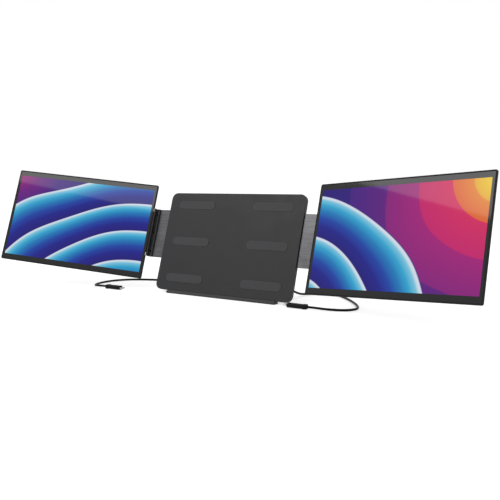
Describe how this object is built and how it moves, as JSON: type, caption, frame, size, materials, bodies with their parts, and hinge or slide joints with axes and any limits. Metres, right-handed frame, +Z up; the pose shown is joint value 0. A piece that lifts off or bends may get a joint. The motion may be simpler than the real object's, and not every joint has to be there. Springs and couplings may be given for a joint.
{
  "type": "laptop screen extender",
  "caption": "Laptop screen extender: displays on telescoping, folding arms either side of a housing that stands behind the lid, with a kickstand and USB-C cables.",
  "frame": {"origin": "centre of the housing foot on the desk", "axes": "+X to the viewer's right along the displays, +Y away from the viewer, +Z up; the housing leans back 18.5 degrees"},
  "size_m": [0.951, 0.2364, 0.2331],
  "materials": {
    "shell_black": "fine-textured moulded plastic",
    "bezel_gloss": "polished",
    "lcd_glass": "glossy panel, lit when in use",
    "tray_aluminium": "satin",
    "circuit_board": "solder-masked laminate",
    "hinge_black": "satin",
    "button_black": "satin",
    "screw_black": "blackened steel",
    "arm_anodised": "dark anodised",
    "pin_steel": "ground",
    "washer_bronze": "plain",
    "cable_rubber": "matte",
    "plug_black": "matte overmould",
    "tongue_nickel": "nickel plated",
    "pad_rubber": "matte silicone",
    "housing_black": "fine-textured",
    "strip_white": "acetal",
    "kickstand_black": "black powder coat"
  },
  "bodies": {
    "housing": {"left_cable": "cable_rubber", "left_device_plug": "plug_black", "left_laptop_plug": "plug_black", "left_device_tongue": "tongue_nickel", "left_laptop_tongue": "tongue_nickel", "right_cable": "cable_rubber", "right_device_plug": "plug_black", "right_laptop_plug": "plug_black", "right_device_tongue": "tongue_nickel", "right_laptop_tongue": "tongue_nickel", "housing_front": "housing_black", "housing_back": "housing_black", "lid_pads": "pad_rubber", "housing_screws": "screw_black", "slide_strips": "strip_white", "pinion_axle": "pin_steel", "desk_foot": "pad_rubber", "kickstand_brackets": "hinge_black", "kickstand_pins": "pin_steel", "kickstand_screws": "screw_black", "port_boards": "circuit_board", "port_shells": "tongue_nickel"},
    "left_arm": {"left_arm": "arm_anodised", "left_hinge_post": "hinge_black", "left_hinge_pin": "pin_steel", "left_hinge_washers": "washer_bronze", "left_post_screws": "screw_black"},
    "left_display": {"left_display_frame": "shell_black", "left_bezel": "bezel_gloss", "left_lcd_panel": "lcd_glass", "left_backlight": "tray_aluminium", "left_driver_board": "circuit_board", "left_rear_cover": "shell_black", "left_hinge_leaf": "hinge_black", "left_cover_screws": "screw_black", "left_leaf_screws": "screw_black"},
    "left_power_button": {"left_power_button": "button_black"},
    "left_menu_rocker": {"left_menu_rocker": "button_black"},
    "right_arm": {"right_arm": "arm_anodised", "right_hinge_post": "hinge_black", "right_hinge_pin": "pin_steel", "right_hinge_washers": "washer_bronze", "right_post_screws": "screw_black", "right_post_cushion": "pad_rubber"},
    "right_display": {"right_display_frame": "shell_black", "right_bezel": "bezel_gloss", "right_lcd_panel": "lcd_glass", "right_backlight": "tray_aluminium", "right_driver_board": "circuit_board", "right_rear_cover": "shell_black", "right_hinge_leaf": "hinge_black", "right_cover_screws": "screw_black", "right_leaf_screws": "screw_black"},
    "right_power_button": {"right_power_button": "button_black"},
    "right_menu_rocker": {"right_menu_rocker": "button_black"},
    "pinion": {"pinion": "strip_white"},
    "kickstand": {"kickstand": "kickstand_black", "kickstand_foot": "pad_rubber"}
  },
  "joints": [
    {"name": "left_arm_slide", "type": "slide", "parent": "housing", "child": "left_arm", "axis": [-1, 0, 0], "range_m": [-0.025, 0.02]},
    {"name": "right_arm_slide", "type": "slide", "parent": "housing", "child": "right_arm", "axis": [1, 0, 0], "range_m": [-0.025, 0.02]},
    {"name": "pinion_spin", "type": "hinge", "parent": "housing", "child": "pinion", "pos_m": [0, 0.03439, 0.10742], "axis": [0, -0.9483, 0.3173], "range_deg": [-205, 164.5]},
    {"name": "left_display_hinge", "type": "hinge", "parent": "left_arm", "child": "left_display", "pos_m": [-0.1817, 0.02548, 0.1104], "axis": [0, 0.3173, 0.9483], "range_deg": [-29.8, 160.2]},
    {"name": "right_display_hinge", "type": "hinge", "parent": "right_arm", "child": "right_display", "pos_m": [0.1817, 0.01694, 0.11325], "axis": [0, -0.3173, -0.9483], "range_deg": [-23, 167]},
    {"name": "kickstand_hinge", "type": "hinge", "parent": "housing", "child": "kickstand", "pos_m": [0, 0.05212, 0.1336], "axis": [1, 0, 0], "range_deg": [-31.3, 22]},
    {"name": "left_power_press", "type": "slide", "parent": "left_display", "child": "left_power_button", "axis": [0.7847, -0.5879, 0.1967], "range_m": [0, 0.0004], "stiffness_N_per_m": 900},
    {"name": "left_menu_rock", "type": "hinge", "parent": "left_display", "child": "left_menu_rocker", "pos_m": [-0.46623, -0.09027, 0.08164], "axis": [-0.6199, -0.7441, 0.249], "range_deg": [-2.5, 2.5], "stiffness_Nm_per_rad": 0.06},
    {"name": "right_power_press", "type": "slide", "parent": "right_display", "child": "right_power_button", "axis": [-0.7058, -0.6718, 0.2248], "range_m": [0, 0.0004], "stiffness_N_per_m": 900},
    {"name": "right_menu_rock", "type": "hinge", "parent": "right_display", "child": "right_menu_rocker", "pos_m": [0.47615, -0.06618, 0.07358], "axis": [-0.7085, 0.6693, -0.2239], "range_deg": [-2.5, 2.5], "stiffness_Nm_per_rad": 0.06}
  ],
  "couplings": [
    {"joint": "right_arm_slide", "follows": "left_arm_slide", "ratio": 1},
    {"joint": "pinion_spin", "follows": "left_arm_slide", "rad_per_m": 142.86}
  ]
}
